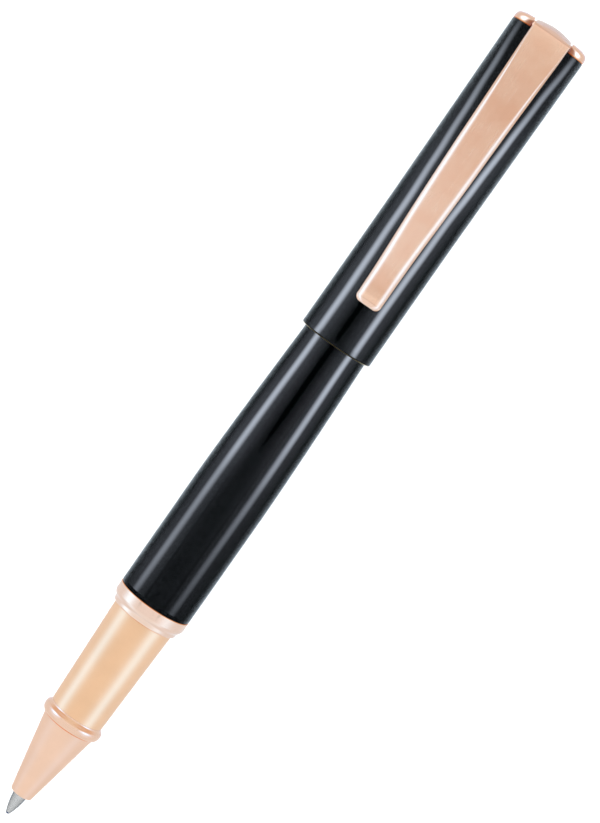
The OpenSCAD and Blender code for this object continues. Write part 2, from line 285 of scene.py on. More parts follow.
def plated(name, color, rough, spread, brush, turned=True, bump=0.05, cloudy=0.0):
    """Rose-gold plating: fine brushing over soft cloudy variation. brush is how strong the brushing is."""
    m = Nodes(name)
    m.set(Metallic=1.0, IOR=1.45)
    if turned:
        x, a, r = m.round_pen()
        lines = m.noise(m.join(m.math("MULTIPLY", x, 9000.0), m.math("MULTIPLY", a, 1.6), 0.0), 1.0, 4.0, 0.6)
        fine = m.noise(m.join(m.math("MULTIPLY", x, 26000.0), m.math("MULTIPLY", a, 5.0), 3.0), 1.0, 2.0, 0.6)
    else:
        s = m.split(m.coords())
        lines = m.noise(m.join(m.math("MULTIPLY", s[0], 160.0), m.math("MULTIPLY", s[1], 9000.0), m.math("MULTIPLY", s[2], 300.0)), 1.0, 4.0, 0.6)
        fine = m.noise(m.join(m.math("MULTIPLY", s[0], 600.0), m.math("MULTIPLY", s[1], 26000.0), m.math("MULTIPLY", s[2], 900.0)), 1.0, 2.0, 0.6)
    cloud = m.noise(m.coords(), 260.0, 3.0, 0.5)
    grain = m.noise(m.coords(), 9000.0, 2.0, 0.5)
    tex = m.math("ADD", m.math("MULTIPLY", lines, 0.65), m.math("MULTIPLY", fine, 0.35))
    c1 = m.remap(cloud, 0.35, 0.65, 0.0, 1.0)
    dark = (color[0] * (0.955 + 0.03 * cloudy), color[1] * (0.955 - 0.03 * cloudy), color[2] * (0.955 - 0.065 * cloudy))
    tone = m.mix(c1, dark, color)
    streak = m.remap(tex, 0.3, 0.7, 0.0, 1.0)
    col = m.mix(m.math("MULTIPLY", streak, 0.10 * brush), tone, tuple(min(1.0, c * 1.06) for c in color))
    m.link(col, m.bsdf.inputs["Base Color"])
    rg = m.math("ADD", m.remap(tex, 0.3, 0.7, rough - spread, rough + spread), m.remap(cloud, 0.3, 0.7, -0.015, 0.015))
    m.link(rg, m.bsdf.inputs["Roughness"])
    h = m.math("ADD", m.math("MULTIPLY", tex, brush), m.math("MULTIPLY", grain, 0.25))
    m.bump(h, bump, 0.00002)
    return m.mat


def lacquer(name):
    """Deep black lacquer: a smooth clear film with the faintest orange peel and hairline wipe marks."""
    m = Nodes(name)
    m.set(IOR=1.5, Coat_Weight=0.0)
    x, a, r = m.round_pen()
    peel = m.noise(m.coords(), 900.0, 2.0, 0.5)
    broad = m.noise(m.coords(), 120.0, 2.0, 0.5)
    hair = m.noise(m.join(m.math("MULTIPLY", x, 900.0), m.math("MULTIPLY", a, 60.0), 0.0), 1.0, 5.0, 0.75)
    scr = m.remap(hair, 0.60, 0.78, 0.0, 1.0)
    rough = m.math("ADD", m.remap(broad, 0.3, 0.7, 0.035, 0.055), m.math("MULTIPLY", scr, 0.05))
    m.link(rough, m.bsdf.inputs["Roughness"])
    m.link(m.mix(broad, (0.0006, 0.0008, 0.0011), (0.0011, 0.0014, 0.0018)), m.bsdf.inputs["Base Color"])
    m.bump(peel, 0.02, 0.00002)
    return m.mat


def steel(name, color, rough, turned=True, bump=0.12, spotty=0.9):
    m = Nodes(name)
    m.set(Metallic=1.0)
    x, a, r = m.round_pen()
    lines = m.noise(m.join(m.math("MULTIPLY", x, 16000.0), m.math("MULTIPLY", a, 1.5), 0.0), 1.0, 4.0, 0.65)
    spots = m.noise(m.coords(), 1500.0, 3.0, 0.6)
    m.link(m.mix(m.remap(spots, 0.3, 0.7, 0.0, 1.0), tuple(c * spotty for c in color), color), m.bsdf.inputs["Base Color"])
    m.link(m.remap(lines, 0.3, 0.7, rough - 0.04, rough + 0.05), m.bsdf.inputs["Roughness"])
    m.bump(lines, bump, 0.00001)
    return m.mat


def plastic(name, color, rough, scale=2500.0, bump=0.15):
    m = Nodes(name)
    g = m.noise(m.coords(), scale, 3.0, 0.6)
    big = m.noise(m.coords(), 180.0, 2.0, 0.5)
    m.link(m.mix(big, tuple(c * 0.88 for c in color), tuple(min(1.0, c * 1.1) for c in color)), m.bsdf.inputs["Base Color"])
    m.link(m.remap(g, 0.3, 0.7, rough - 0.05, rough + 0.07), m.bsdf.inputs["Roughness"])
    m.set(IOR=1.49)
    m.bump(g, bump, 0.00002)
    return m.mat


ROSE = (0.955, 0.640, 0.475)
ROSE_GRIP = (0.962, 0.608, 0.373)
M_LACQUER = lacquer("black_lacquer")
M_GRIP = plated("rose_gold_grip", ROSE_GRIP, 0.33, 0.035, 1.0, True)
M_NOSE = plated("rose_gold_nose", (0.965, 0.665, 0.500), 0.34, 0.035, 1.0, True)
M_CLIP = plated("rose_gold_clip", ROSE, 0.25, 0.03, 0.6, False, cloudy=1.0)
M_POLISH = plated("rose_gold_polished", (0.965, 0.670, 0.520), 0.11, 0.012, 0.3, True, bump=0.02)
M_CROWN = plated("rose_gold_crown", (0.960, 0.650, 0.500), 0.12, 0.012, 0.3, False, bump=0.02)
M_STEEL = steel("tip_steel", (0.62, 0.635, 0.645), 0.27, bump=0.015, spotty=0.985)
M_BALL = steel("ball_carbide", (0.035, 0.055, 0.12), 0.16, bump=0.02)
# Painted shade: dark blue colour that stands in for the dark reflection round the tip's mouth.
M_TIP_PAINTED_SHADE = steel("tip_painted_shade", (0.10, 0.16, 0.30), 0.25, bump=0.02)
M_SPRING = steel("spring_wire", (0.55, 0.56, 0.58), 0.25)
M_SCREW = steel("screw_zinc", (0.60, 0.61, 0.62), 0.32)
M_BRASS = steel("bare_brass", (0.80, 0.58, 0.26), 0.26)
M_LIP = steel("lip_brass", (0.62, 0.47, 0.24), 0.30)
# Painted shade: a thin darker orange line, laid on the bead's foot, the trim ring's back edge and the crown's rim,
# stands in for the shade where these parts meet their neighbours.
M_PAINTED_SHADE_LINE = plated("painted_shade_line", (0.93, 0.36, 0.13), 0.20, 0.02, 0.3, True, bump=0.02)
M_REFILL = steel("refill_tube_metal", (0.66, 0.67, 0.69), 0.28)
M_BLACK = plastic("black_plastic", (0.022, 0.023, 0.026), 0.38)
M_NATURAL = plastic("natural_plastic", (0.62, 0.63, 0.64), 0.42)
M_RUBBER = plastic("ring_rubber", (0.012, 0.012, 0.012), 0.55, 4000.0, 0.3)
M_FIBRE = plastic("ink_fibre", (0.015, 0.022, 0.09), 0.85, 5200.0, 0.8)
M_FEED = plastic("feed_fibre", (0.74, 0.74, 0.71), 0.75, 5200.0, 0.6)

METAL, BLACK = [], []


def dress(obj, body, slot, *mats, node=None):
    obj.data.materials.clear()
    for m in mats:
        obj.data.materials.append(m)
    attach(obj, body)
    if node:
        for n in node if isinstance(node, (list, tuple)) else [node]:
            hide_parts(n)
    return obj


def second(obj, mat, test):
    """Gives obj a second material on the faces whose middle passes test(x, r)."""
    obj.data.materials.append(mat)
    for p in obj.data.polygons:
        c = p.center
        if test(c.x / MM - TIP, math.hypot(c.y / MM, c.z / MM - AXIS)):
            p.material_index = len(obj.data.materials) - 1


# ---------------------------------------------------------------- barrel
B0, B1 = lo_x("barrel_shell"), hi_x("barrel_shell")
BR = rad("barrel_shell")
WALL = 0.55


def barrel_rad(x):
    return BR - 0.00571 * max(0.0, x - 62.0) ** 1.437


xs = frange(62.0, B1 - 0.12, 40)
outline = (
    [(B0 + 0.02, BR - WALL + 0.05), (B0, BR - WALL + 0.12), (B0, BR - 0.10), (B0 + 0.03, BR - 0.035), (B0 + 0.10, BR)]
    + [(x, BR) for x in frange(B0 + 0.6, 61.4, 12)]
    + [(x, barrel_rad(x)) for x in xs]
    + [(B1 - 0.03, barrel_rad(B1) - 0.03), (B1, barrel_rad(B1) - 0.12)]
    + [(B1, barrel_rad(B1) - WALL)]
    + [(x, barrel_rad(x) - WALL) for x in reversed(frange(62.0, B1 - 0.5, 20))]
)
barrel = dress(lathe("barrel_tube", outline), "barrel", "black_lacquer", M_LACQUER, node="barrel_shell")
BLACK.append(barrel)

T0, T1 = lo_x("tail_plug"), hi_x("tail_plug")
tr = rad("tail_plug")
tail = lathe("tail_end", fillet([
    (T0, 0), (T0, tr - WALL - 0.15, 0.1), (B1 + 0.03, tr - WALL - 0.15), (B1 + 0.03, tr - 0.02, 0.07),
    (T1 - 0.55, tr - 0.08, 0.25), (T1 - 0.12, tr - 0.45, 0.25), (T1, tr - 1.2, 1.0), (T1, 0)]))
dress(tail, "barrel", "rose_gold_polished", M_POLISH, node="tail_plug")
METAL.append(tail)


def coil(name, x0, x1, mid, wire, turns, per=40, sides=14):
    bm = bmesh.new()
    n = turns * per
    rings = []
    for i in range(n + 1):
        t = i / per
        if t < 1:
            f = t * 2.05 * wire
        elif t > turns - 1:
            f = (x1 - x0) - (turns - t) * 2.05 * wire
        else:
            f = 2.05 * wire + (t - 1) * ((x1 - x0) - 4.1 * wire) / (turns - 2)
        a = 2 * math.pi * t
        ring = []
        for j in range(sides):
            b = 2 * math.pi * j / sides
            r = mid + wire * math.cos(b)
            ring.append(bm.verts.new(place(x0 + f + wire * math.sin(b), r * math.cos(a), r * math.sin(a))))
        rings.append(ring)
    for i in range(n):
        for j in range(sides):
            k = (j + 1) % sides
            bm.faces.new((rings[i][j], rings[i][k], rings[i + 1][k], rings[i + 1][j]))
    bm.faces.new(list(reversed(rings[0])))
    bm.faces.new(rings[-1])
    return finish_mesh(bm, name, 60)


s_lo, s_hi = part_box("refill_spring")
wire = 0.22
spring = coil("spring_coil", s_lo.x / MM - TIP + wire + 0.005, s_hi.x / MM - TIP - wire - 0.005, 2.35, wire - 0.003, 6)
dress(spring, "barrel", "spring_steel", M_SPRING, node="refill_spring")
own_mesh(spring)

# --------------------------------------------------------------- section
x0, x1 = lo_x("section_o_ring"), hi_x("section_o_ring")
oring = lathe("o_ring", arc((x0 + x1) / 2, rad("section_o_ring") - (x1 - x0) / 2, (x1 - x0) / 2, (x1 - x0) / 2, 0, 352.5, 47))
dress(oring, "thread_carrier", "ring_rubber", M_RUBBER, node="section_o_ring")

# Nose cone, with a softly rounded mouth and a fine step behind it.
N0, N1 = lo_x("nose_cone"), hi_x("nose_cone")
NB = N1 - 6.15 + 0.15
nose = lathe("nose", fillet([
    (N0 + 0.02, 1.27, 0.04), (N0, 1.40, 0.05), (N0, 1.885, 0.16), (NB, 4.497, 0.07), (NB + 0.02, 3.95, 0.02),
    (N1, 3.95, 0.1), (N1, 3.27), (14.4, 3.27), (13.9, 2.15), (8.6, 2.15), (8.6, 1.27)], 7))
dress(nose, "section", "rose_gold_satin", M_NOSE, node="nose_cone")

# Bead ring.
b0, b1, br = lo_x("bead_ring"), hi_x("bead_ring"), rad("bead_ring")
g0, g1 = lo_x("grip_sleeve"), hi_x("grip_sleeve")
g_lo = 4.62
g_hi = rad("grip_sleeve")
BEAD = [(b0, 4.47), (b0 + 0.05, 4.62), (b0 + 0.16, 4.80), (b0 + 0.34, 4.98), (b0 + 0.60, 5.12), (b0 + 0.92, br - 0.005), (b0 + 1.20, br),
        (b0 + 1.44, br - 0.03), (b0 + 1.64, 5.08), (b0 + 1.80, 4.93), (b0 + 1.93, 4.79), (b0 + 2.05, 4.69), (b0 + 2.16, 4.638), (b0 + 2.26, 4.621), (g0 - 0.006, 4.618)]
bead = lathe("bead", [(g0 - 0.006, 4.0), (b0, 4.0)] + [(x, spline(BEAD, x)) for x in frange(BEAD[0][0], BEAD[-1][0], 56)], 192)
dress(bead, "section", "rose_gold_polished", M_POLISH, node="bead_ring")
# Painted shade: a darker orange line round the bead's foot.
second(bead, M_PAINTED_SHADE_LINE, lambda x, r: x < b0 + 0.24 and r > 4.4)


# Grip sleeve.
grip = lathe("grip", fillet(
    [(g0, 4.08), (g0, g_lo - 0.002, 0.02)]
    + [(x, g_lo + (g_hi - g_lo) * (x - g0) / (g1 - g0)) for x in frange(g0 + 1, g1 - 1, 12)]
    + [(g1, g_hi - 0.001, 0.03), (g1, 4.08)]))
dress(grip, "section", "rose_gold_satin", M_GRIP, node="grip_sleeve")

# Trim ring: a narrow rounded band, a fine groove and a wide band.
r0, r1, rr = lo_x("trim_ring"), hi_x("trim_ring"), rad("trim_ring")
m0 = r0 + 0.95
RING = [(r0 + 0.07, 5.54), (r0 + 0.16, 5.64), (r0 + 0.30, 5.70), (r0 + 0.50, 5.73), (m0 - 0.16, 5.785), (m0 + 0.01, 5.885), (m0 + 0.18, 6.02),
        (m0 + 0.36, 6.15), (m0 + 0.54, 6.22), (m0 + 0.72, rr - 0.003), (m0 + 0.86, rr)]
ring = lathe("ring", [(r0, 4.68), (r0, 5.35), (r0 + 0.02, 5.44)]
             + [(x, spline(RING, x)) for x in frange(RING[0][0], RING[-1][0], 48)]
             + fillet([(m0 + 1.6, rr), (r1, rr, 0.12), (r1, 4.68), (m0 + 1.6, 4.68)], 8)[:-1], 192)
dress(ring, "section", "rose_gold_polished", M_POLISH, node="trim_ring")
# Painted shade: a darker orange line on the trim ring's back edge.
second(ring, M_PAINTED_SHADE_LINE, lambda x, r: x > r1 - 0.13 and r > rr - 0.5)

# Coupler with a real helical thread.
c0, c1 = lo_x("section_coupler"), hi_x("section_coupler")
th0 = r1 + 2.3
th1 = th0 + 4.4
PITCH = 0.75


def coupler_mesh():
    seg = 144
    pts = [(c0, 3.26), (c0, 3.88), (c0 + 0.15, 4.02), (r0 - 0.6, 4.02), (r0 + 0.02, 4.63), (r1 - 0.04, 4.63),
           (r1 + 0.02, 4.3), (th0 - 0.35, 4.3), (th0 - 0.25, 4.58)]
    body = [(x, None) for x in frange(th0 - 0.1, th1 - 0.05, 120)]
    tail_pts = [(th1 + 0.1, 4.55), (c1 - 0.15, 4.49), (c1, 4.35), (c1, 3.26)]
    bm = bmesh.new()
    rings = []
    for x, r in pts + body + tail_pts:
        row = []
        for k in range(seg):
            a = 2 * math.pi * k / seg
            q = r
            if r is None:
                run = min(1.0, max(0.0, (x - th0 + 0.1) / 0.5), max(0.0, (th1 - x) / 0.5))
                # Right-hand thread: the crest moves along +X as it turns from +Z towards -Y.
                ph = (x / PITCH - a / (2 * math.pi)) % 1.0
                tri = 1.0 - abs(2 * ph - 1.0)
                q = 4.58 + (4.985 - 4.58) * min(1.0, max(0.0, tri * 1.35 - 0.12)) * run
            row.append(bm.verts.new(place(x, q * math.cos(a), q * math.sin(a))))
        rings.append(row)
    n = len(rings)
    for i in range(n):
        for k in range(seg):
            m = (k + 1) % seg
            bm.faces.new((rings[i][k], rings[i][m], rings[(i + 1) % n][m], rings[(i + 1) % n][k]))
    return finish_mesh(bm, "coupler", 45)


coupler = dress(coupler_mesh(), "section", "bare_brass", M_BRASS, node="section_coupler")

# ---------------------------------------------------------------- refill
t1 = hi_x("refill_tip")
tip = lathe("tip_cone", fillet([
    (0.40, 0.0), (0.30, 0.30), (0.17, 0.305, 0.02), (0.20, 0.34, 0.02), (0.36, 0.425, 0.05), (0.62, 0.52, 0.2), (1.1, 0.69, 0.6),
    (2.0, 0.93, 1.5), (2.95, 1.12, 1.5), (3.72, 1.205, 1.0), (6.0, 1.205), (6.0, 1.15), (t1, 1.15), (t1, 0)], 8), 96)
dress(tip, "refill", "steel_tip", M_STEEL, node="refill_tip")
# Painted shade: the front of the tip cone is painted dark blue.
second(tip, M_TIP_PAINTED_SHADE, lambda x, r: x < 0.40)
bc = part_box("writing_ball")
R = rad("writing_ball")
ball = lathe("ball", [(R - R * math.cos(math.radians(q)), R * math.sin(math.radians(q)) if 0 < q < 180 else 0.0) for q in range(0, 181, 5)], 64, 80)
dress(ball, "ball", "carbide_ball", M_BALL, node="writing_ball")

# ------------------------------------------------------------------- cap
C0, C1 = lo_x("cap_shell"), hi_x("cap_shell")
WAIST = 113.0
CM, CW, CT = 6.285, 6.224, 6.43
BORE = 5.80


def cap_rad(x):
    if x < WAIST:
        return CW + (CM - CW) * ((WAIST - x) / (WAIST - C0)) ** 2
    return CW + (CT - CW) * ((x - WAIST) / (C1 - WAIST)) ** 1.2


outline = (
    [(C0 + 0.16, BORE), (C0 + 0.04, BORE + 0.05), (C0, BORE + 0.12), (C0, CM - 0.20), (C0 + 0.03, CM - 0.12), (C0 + 0.08, CM - 0.06), (C0 + 0.14, CM - 0.012)]
    + [(x, cap_rad(x)) for x in frange(C0 + 0.3, C1 - 0.12, 60)]
    + [(C1 - 0.1, CT - 0.02), (C1 - 0.1, BORE)]
    + [(x, BORE) for x in reversed(frange(C0 + 5, C1 - 5, 8))]
)
cap = lathe("cap_tube", outline)
dress(cap, "cap", "black_lacquer", M_LACQUER, node="cap_shell")
second(cap, M_LIP, lambda x, r: x < C0 + 0.13 and r > BORE + 0.03)
BLACK.append(cap)

# Crown: a turned flange and spigot, split by the slot of the clip.
K0, K1, KR = lo_x("cap_crown"), hi_x("cap_crown"), rad("cap_crown")
F0 = C1 - 0.08


def slot_cutter(half, a, b):
    """The outline of the slot, from the rim to its round far end, between two places along the pen."""
    pts = [(9.0, half), (9.0, -half), (-1.9, -half)]
    pts += [(-1.9 - half * math.sin(math.radians(q)), -half * math.cos(math.radians(q))) for q in range(6, 180, 6)]
    pts += [(-1.9, half)]
    bm = bmesh.new()
    low = [bm.verts.new(place(a, y, h)) for h, y in pts]
    top = [bm.verts.new(place(b, y, h)) for h, y in pts]
    n = len(pts)
    bm.faces.new(low)
    bm.faces.new(list(reversed(top)))
    for i in range(n):
        j = (i + 1) % n
        bm.faces.new((low[i], top[i], top[j], low[j]))
    return finish_mesh(bm, "slot_cutter")


crown = lathe("crown", fillet([
    (K0, 1.2), (K0, BORE - 0.03, 0.15), (F0, BORE - 0.03), (F0, KR - 0.13, 0.04), (F0 + 0.06, KR - 0.06), (F0 + 0.20, KR - 0.03), (F0 + 0.40, KR - 0.002), (F0 + 0.55, KR), (F0 + 0.78, KR - 0.03),
    (F0 + 1.0, KR - 0.105), (F0 + 1.2, KR - 0.23), (F0 + 1.36, KR - 0.42), (F0 + 1.47, KR - 0.68), (K1 - 0.01, KR - 1.02), (K1, KR - 1.4), (K1, 0),
    (C1 - 0.9, 0), (C1 - 0.9, 1.2)], 10))
cutter = slot_cutter(3.50, C1 - 0.04, C1 + 6)
mod = crown.modifiers.new("slot", "BOOLEAN")
mod.operation = "DIFFERENCE"
mod.solver = "EXACT"
mod.object = cutter
bev = crown.modifiers.new("soft_edges", "BEVEL")
bev.width = 0.00013
bev.segments = 3
bev.limit_method = "ANGLE"
bev.angle_limit = math.radians(50)
bev.harden_normals = False
bpy.context.view_layer.update()
dg = bpy.context.evaluated_depsgraph_get()
made = bpy.data.meshes.new_from_object(crown.evaluated_get(dg))
crown.modifiers.clear()
old = crown.data
crown.data = made
bpy.data.meshes.remove(old)
bpy.data.objects.remove(cutter)
bm = bmesh.new()
bm.from_mesh(crown.data)
bmesh.ops.remove_doubles(bm, verts=bm.verts, dist=1e-7)
for f in bm.faces:
    f.smooth = True
for e in bm.edges:
    e.smooth = not (len(e.link_faces) == 2 and e.calc_face_angle(0.0) > math.radians(35))
bm.to_mesh(crown.data)
bm.free()
dress(crown, "cap", "rose_gold_polished", M_CROWN, node="cap_crown")
# Painted shade: a darker orange line on the crown's rim beside the lacquer.
second(crown, M_PAINTED_SHADE_LINE, lambda x, r: x < F0 + 0.20 and r > CT - 0.25)


# ------------------------------------------------------------------ clip
def strip(name, outer, inner, half, rc, fo, fi, start_round=0.0, end_round=0.0, crown_drop=None, ny=26, shift=None, swing=0.999, absolute=False):
    """A bent bar. outer and inner are matching lists of (x, h) along its two faces, half its half width at each.
    rc is how far in the long edges are rounded; fo and fi are the shares of the thickness that the outer and inner rounding take."""
    n = len(outer)
    arcs = [0.0]
    for i in range(1, n):
        arcs.append(arcs[-1] + math.dist(outer[i], outer[i - 1]))
    total = arcs[-1]
    # Denser points towards the long edges.
    g = [math.sin(math.pi / 2 * (2 * j / ny - 1)) for j in range(ny + 1)]
    bm = bmesh.new()

    def inset(i, y, edge):
        dy = half[i] - abs(y)
        edge = edge(i) if callable(edge) else edge
        d = min(dy, edge)
        a, b = arcs[i], total - arcs[i]
        for dist, on in ((a, start_round), (b, end_round)):
            if on:
                qx, qy = max(edge - dist, 0.0), max(edge - dy, 0.0)
                d = min(d, edge - math.hypot(qx, qy)) if qx or qy else d
        return max(0.0, min(d, edge))

    top, bot = [], []
    for i in range(n):
        rt, rb = [], []
        for gj in g:
            y = half[i] * gj
            dy = shift(outer[i][0]) if shift else 0.0
            d = inset(i, y, rc)
            e = rc(i) if callable(rc) else rc
            u = swing * (1 - d / e)
            s = (1 - math.sqrt(max(0.0, 1 - u * u))) / (1 - math.sqrt(1 - swing * swing))
            cd = crown_drop(i, gj) if crown_drop else 0.0
            th = math.dist(outer[i], inner[i])
            k = min(0.98, (fo / th if absolute else fo) * s + cd / th)
            rt.append((outer[i][0] + (inner[i][0] - outer[i][0]) * k, y + dy, outer[i][1] + (inner[i][1] - outer[i][1]) * k))
            d2 = inset(i, y, 0.30)
            s2 = 1 - math.sqrt(max(0.0, 1 - (1 - d2 / 0.30) ** 2))
            k2 = min(fi * s2, 1 - k - 0.005)
            rb.append((inner[i][0] + (outer[i][0] - inner[i][0]) * k2, y + dy, inner[i][1] + (outer[i][1] - inner[i][1]) * k2))
        top.append([bm.verts.new(place(*p)) for p in rt])
        bot.append([bm.verts.new(place(*p)) for p in rb])
    for i in range(n - 1):
        for j in range(ny):
            bm.faces.new((top[i][j], top[i][j + 1], top[i + 1][j + 1], top[i + 1][j]))
            bm.faces.new((bot[i][j], bot[i + 1][j], bot[i + 1][j + 1], bot[i][j + 1]))
        for j in (0, ny):
            bm.faces.new((top[i][j], top[i + 1][j], bot[i + 1][j], bot[i][j]))
    for i in (0, n - 1):
        for j in range(ny):
            bm.faces.new((top[i][j], bot[i][j], bot[i][j + 1], top[i][j + 1]))
    return finish_mesh(bm, name, 50)


HX, HH, KN = 147.55, 7.55, 1.0
E0 = lo_x("clip")
cw0 = (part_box("clip")[1].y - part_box("clip")[0].y) / 2 / MM
w_end = 2.15


def clip_half(x):
    return spline([(E0, w_end), (104, 2.20), (109.5, 2.34), (115.5, 2.555), (121.5, 2.725), (134, 2.985), (142, 3.17), (HX, cw0 - 0.02), (150, cw0 - 0.02)], x)


TOP = [(E0 - 1, 8.28), (E0, 8.24), (E0 + 0.7, 8.12), (101, 7.87), (103.2, 7.71), (106, 7.74), (109.5, 7.93), (114, 8.22), (120, 8.52),
       (127, 8.72), (134, 8.78), (140, 8.775), (144, 8.675), (HX - 1.6, 8.60), (HX - 0.6, 8.548), (HX, 8.510)]
BOT = [(E0 - 1, 7.48), (E0, 7.42), (E0 + 0.7, 7.27), (101.6, 6.88), (103.6, 6.54), (105.0, 6.38), (106.4, 6.42), (108.2, 6.72), (110.5, 7.04),
       (114, 7.30), (120, 7.60), (127, 7.79), (134, 7.84), (140, 7.82), (HX - 1.6, 7.57), (HX, 7.35)]
outer, inner, half = [], [], []
stations = []
c = 0.9
for i in range(15):  # the free end, dense round its corners
    stations.append(E0 + c * (1 - math.cos(math.pi / 2 * i / 14)))
stations += frange(E0 + c + 0.15, HX - 0.25, 150)
for x in stations:
    w = clip_half(x)
    d = x - E0
    if d < c:
        w = w - c + math.sqrt(max(0.0, c * c - (c - d) ** 2))
    outer.append((x, spline(TOP, x)))
    inner.append((x, spline(BOT, x)))
    half.append(w)
# The face runs on to a crisp fold, then both faces turn round the bend's own axis.
for dx, h in ((0.2, 8.494), (0.4, 8.477), (0.6, 8.458), (0.74, 8.442), (0.85, 8.420), (0.92, 8.385), (0.965, 8.33)):
    outer.append((HX + dx, h))
    inner.append((HX, 7.35))
    half.append(cw0 - 0.02)
for q in range(60, -61, -6):
    a = math.radians(q)
    f = (60 - q) / 120
    b = math.radians(-125 + 40 * f)
    outer.append((HX + 0.985, HH + 0.70 * q / 60) if q > 0 else (HX + (KN - 0.015) * math.cos(a), HH + (KN - 0.015) * math.sin(a)))
    inner.append((HX + (KN - 0.01) * math.cos(b) * (0.55 + 0.45 * f), HH + (KN - 0.01) * math.sin(b) * (0.75 + 0.25 * f)))
    half.append(cw0 - 0.02)


def clip_crown(i, g):
    # Slightly crowned across, more so towards the contact bump.
    x = outer[i][0]
    depth = spline([(98, 0.05), (101, 0.10), (106, 0.16), (112, 0.12), (122, 0.05), (140, 0.03), (150, 0.02)], x)
    return depth * g * g


def clip_edge(i):
    # The long edges are rounder towards the free end.
    return spline([(E0, 1.10), (106, 1.20), (122, 1.15), (132, 0.95), (140, 0.62), (144, 0.34), (147, 0.18), (150, 0.14)], outer[i][0])


arm = strip("clip_arm", outer, inner, half, clip_edge, 0.46, 0.2, end_round=0.0, start_round=1.0, crown_drop=clip_crown, ny=60,
            shift=lambda x: spline([(E0, -0.34), (104.8, -0.27), (111, -0.15), (117, -0.09), (123, -0.05), (130, 0.0), (150, 0.0)], x), swing=0.35, absolute=True)
dress(arm, "clip", "rose_gold_satin", M_CLIP, node="clip")

# Domed root of the clip.
f = C1 + 0.1
e = hi_x("clip_root") - 0.006
rw = (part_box("clip_root")[1].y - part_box("clip_root")[0].y) / 2 / MM - 0.10
path = [(HX + 0.90, 8.43), (HX + 1.03, 8.30), (HX + 1.12, 8.11), (HX + 1.22, 7.90), (HX + 1.35, 7.60), (e - 0.8, 6.78), (e - 0.45, 5.38), (e - 0.2, 3.8), (e - 0.05, 2.0), (e, 0.0),
        (e - 0.15, -2.4), (e - 0.45, -4.2), (e - 0.9, -5.18)]


def smooth_path(pts, n):
    """A smooth curve through points (Catmull-Rom, centripetal), n points in all."""
    P = [Vector(p) for p in pts]
    P = [P[0] * 2 - P[1]] + P + [P[-1] * 2 - P[-2]]
    out = []
    for i in range(1, len(P) - 2):
        p0, p1, p2, p3 = P[i - 1:i + 3]
        for k in range(24):
            t = k / 24
            out.append(0.5 * ((2 * p1) + (p2 - p0) * t + (2 * p0 - 5 * p1 + 4 * p2 - p3) * t * t + (3 * p1 - p0 - 3 * p2 + p3) * t ** 3))
    out.append(P[-2])
    acc = [0.0]
    for a, b in zip(out, out[1:]):
        acc.append(acc[-1] + (b - a).length)
    res = []
    for k in range(n):
        d = acc[-1] * k / (n - 1)
        j = max(i for i in range(len(acc)) if acc[i] <= d + 1e-9)
        j = min(j, len(out) - 2)
        u = (d - acc[j]) / max(1e-9, acc[j + 1] - acc[j])
        res.append(tuple(out[j] + (out[j + 1] - out[j]) * u))
    return res


outer = smooth_path(path, 120)
inner, half = [], []
for x, h in outer:
    # The inner face follows the knuckle's seat, then the slot's floor.
    if h > HH:
        inner.append((min(x - 0.03, HX + 0.996), h - 0.05))
    elif h > 6.55:
        a = math.atan2(h - HH, x - HX)
        inner.append((HX + (KN + 0.03) * math.cos(a), HH + (KN + 0.03) * math.sin(a)))
    else:
        inner.append((f, h))
    w = rw
    if h < -1.9:
        w = math.sqrt(max(0.02, rw * rw - (h + 1.9) ** 2))
    half.append(w)


def root_dome(i, g):
    w = half[i] * g
    drop = 10.2 - math.sqrt(10.2 ** 2 - w * w)
    return drop * min(1.0, max(0.0, (7.9 - outer[i][1]) / 1.6))


root = strip("clip_top", outer, inner, half, 0.22, 0.22, 0.05, crown_drop=root_dome, end_round=0.0, ny=40)
dress(root, "cap", "rose_gold_satin", M_CLIP, node="clip_root")

# ------------------------------------------- CAD nodes that stay as they are
for n, m in {
    "barrel_thread_insert": M_BRASS, "spring_cup": M_NATURAL, "refill_holder": M_BLACK, "refill_tube": M_REFILL,
    "ink_reservoir": M_FIBRE, "feed_rod": M_FEED, "refill_plug": M_BLACK, "cap_liner": M_BLACK,
    "crown_screw": M_SCREW, "screw_washer": M_SCREW,
}.items():
    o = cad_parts[n]
    if not o.data.materials:
        o.data.materials.append(m)
    for s in o.material_slots:
        s.material = m

# ---------------------------------------------------------------- camera
# The lens looks down on the pen from behind the cap end, a little off its line.
ALPHA = math.radians(6.68)
DIST, FOCAL = 425.0, 2737.3
d_img = Vector((0.57386, 0.81895))
bx = Vector((d_img.x * math.cos(ALPHA), d_img.y * math.cos(ALPHA), math.sin(ALPHA)))
by = Vector((-d_img.y, d_img.x, 0.0))
bz = bx.cross(by)
# Rows of the world's axes in the camera's frame; its transpose turns the camera.
to_cam = Matrix((bx, by, bz)).transposed()
aim = place(79.43, -1.49, 0.0)
ROLL = math.radians(0.6)
cam_data = bpy.data.cameras.new("camera")
cam_data.sensor_fit = "AUTO"
cam_data.sensor_width = 36.0
cam_data.lens = FOCAL / 823.0 * 36.0
cam_data.clip_start, cam_data.clip_end = 0.01, 20.0
cam = bpy.data.objects.new("camera", cam_data)
scene.collection.objects.link(cam)
rot = to_cam.transposed()
# The lens is a touch to the left of the pen's top: the whole view is turned round the pen's line.
line = Vector((0.0, 0.0, AXIS * MM))
turn = Matrix.Translation(line) @ Matrix.Rotation(-ROLL, 4, "X") @ Matrix.Translation(-line)
cam.matrix_world = turn @ Matrix.Translation(aim + rot @ Vector((0, 0, DIST * MM))) @ rot.to_4x4()
scene.camera = cam

